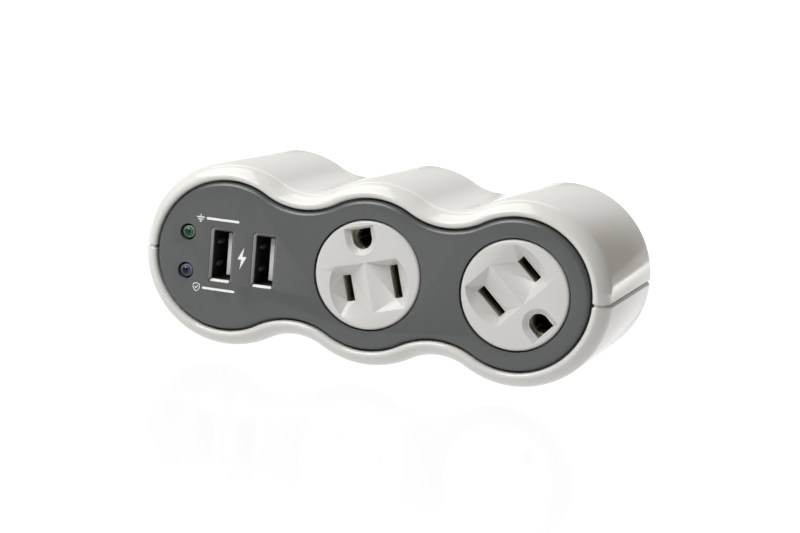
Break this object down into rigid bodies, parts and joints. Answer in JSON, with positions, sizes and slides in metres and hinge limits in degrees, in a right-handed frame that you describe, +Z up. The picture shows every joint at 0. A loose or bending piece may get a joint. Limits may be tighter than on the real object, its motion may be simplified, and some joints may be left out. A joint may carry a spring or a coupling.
{
  "type": "plug-in surge protector",
  "caption": "Lobed plug-in surge protector for a wall outlet, with turning outlets, USB charging ports and status lamps.",
  "frame": {"origin": "on the wall face, at the middle of the middle lobe", "axes": "+X along the row of lobes, +Y into the wall, +Z up"},
  "size_m": [0.1234, 0.0726, 0.047],
  "materials": {
    "gloss_white": "gloss white moulded plastic",
    "plate_grey": "satin grey moulded plastic",
    "screw_steel": "zinc plated steel",
    "black_plastic": "matte black moulded plastic",
    "brass": "drawn brass",
    "insulator": "matte ivory moulded plastic",
    "board_green": "solder mask over glass fibre board",
    "varistor_blue": "epoxy dip",
    "fuse_silver": "tinned case",
    "capacitor_yellow": "moulded box",
    "choke_copper": "enamelled copper winding",
    "transformer_tape": "yellow tape on ferrite",
    "lead_black": "PVC insulation",
    "lead_white": "PVC insulation",
    "lead_green": "PVC insulation",
    "lead_red": "PVC insulation",
    "port_nickel": "nickel plated steel sheet",
    "lamp_green": "green tinted clear lens",
    "lamp_blue": "dark blue tinted clear lens",
    "outlet_white": "matte warm white moulded plastic",
    "rubber": "soft black rubber"
  },
  "bodies": {
    "housing": {"upper_shell": "gloss_white", "lower_shell": "gloss_white", "front_plate": "plate_grey", "rear_cover": "plate_grey", "housing_screws": "screw_steel", "plug_base": "black_plastic", "line_blade": "brass", "neutral_blade": "brass", "ground_pin": "brass", "contact_carrier": "insulator", "carrier_screws": "screw_steel", "line_bus": "brass", "neutral_bus": "brass", "ground_bus": "brass", "surge_board": "board_green", "surge_board_screws": "screw_steel", "line_varistor": "varistor_blue", "neutral_varistor": "varistor_blue", "ground_varistor": "varistor_blue", "thermal_fuse": "fuse_silver", "noise_capacitor": "capacitor_yellow", "noise_choke": "choke_copper", "charger_board": "board_green", "charger_board_screws": "screw_steel", "charger_transformer": "transformer_tape", "charger_capacitors": "black_plastic", "port_board": "board_green", "line_lead": "lead_black", "neutral_lead": "lead_white", "ground_lead": "lead_green", "charger_leads": "lead_red", "left_port_shell": "port_nickel", "left_port_tongue": "lead_white", "left_port_contacts": "brass", "right_port_shell": "port_nickel", "right_port_tongue": "lead_white", "right_port_contacts": "brass", "ground_lamp": "lamp_green", "surge_lamp": "lamp_blue"},
    "middle_outlet": {"middle_outlet_face": "outlet_white", "middle_outlet_core": "insulator", "middle_outlet_back": "black_plastic", "middle_line_contact": "brass", "middle_neutral_contact": "brass", "middle_ground_contact": "brass", "middle_line_ring": "brass", "middle_neutral_ring": "brass", "middle_ground_stud": "brass", "middle_friction_ring": "rubber"},
    "right_outlet": {"right_outlet_face": "outlet_white", "right_outlet_core": "insulator", "right_outlet_back": "black_plastic", "right_line_contact": "brass", "right_neutral_contact": "brass", "right_ground_contact": "brass", "right_line_ring": "brass", "right_neutral_ring": "brass", "right_ground_stud": "brass", "right_friction_ring": "rubber"}
  },
  "joints": [
    {"name": "middle_outlet_turn", "type": "hinge", "parent": "housing", "child": "middle_outlet", "pos_m": [0, -0.0513, 0], "axis": [0, -1, 0], "continuous": true},
    {"name": "right_outlet_turn", "type": "hinge", "parent": "housing", "child": "right_outlet", "pos_m": [0.03825, -0.0513, 0], "axis": [0, -1, 0], "continuous": true}
  ]
}
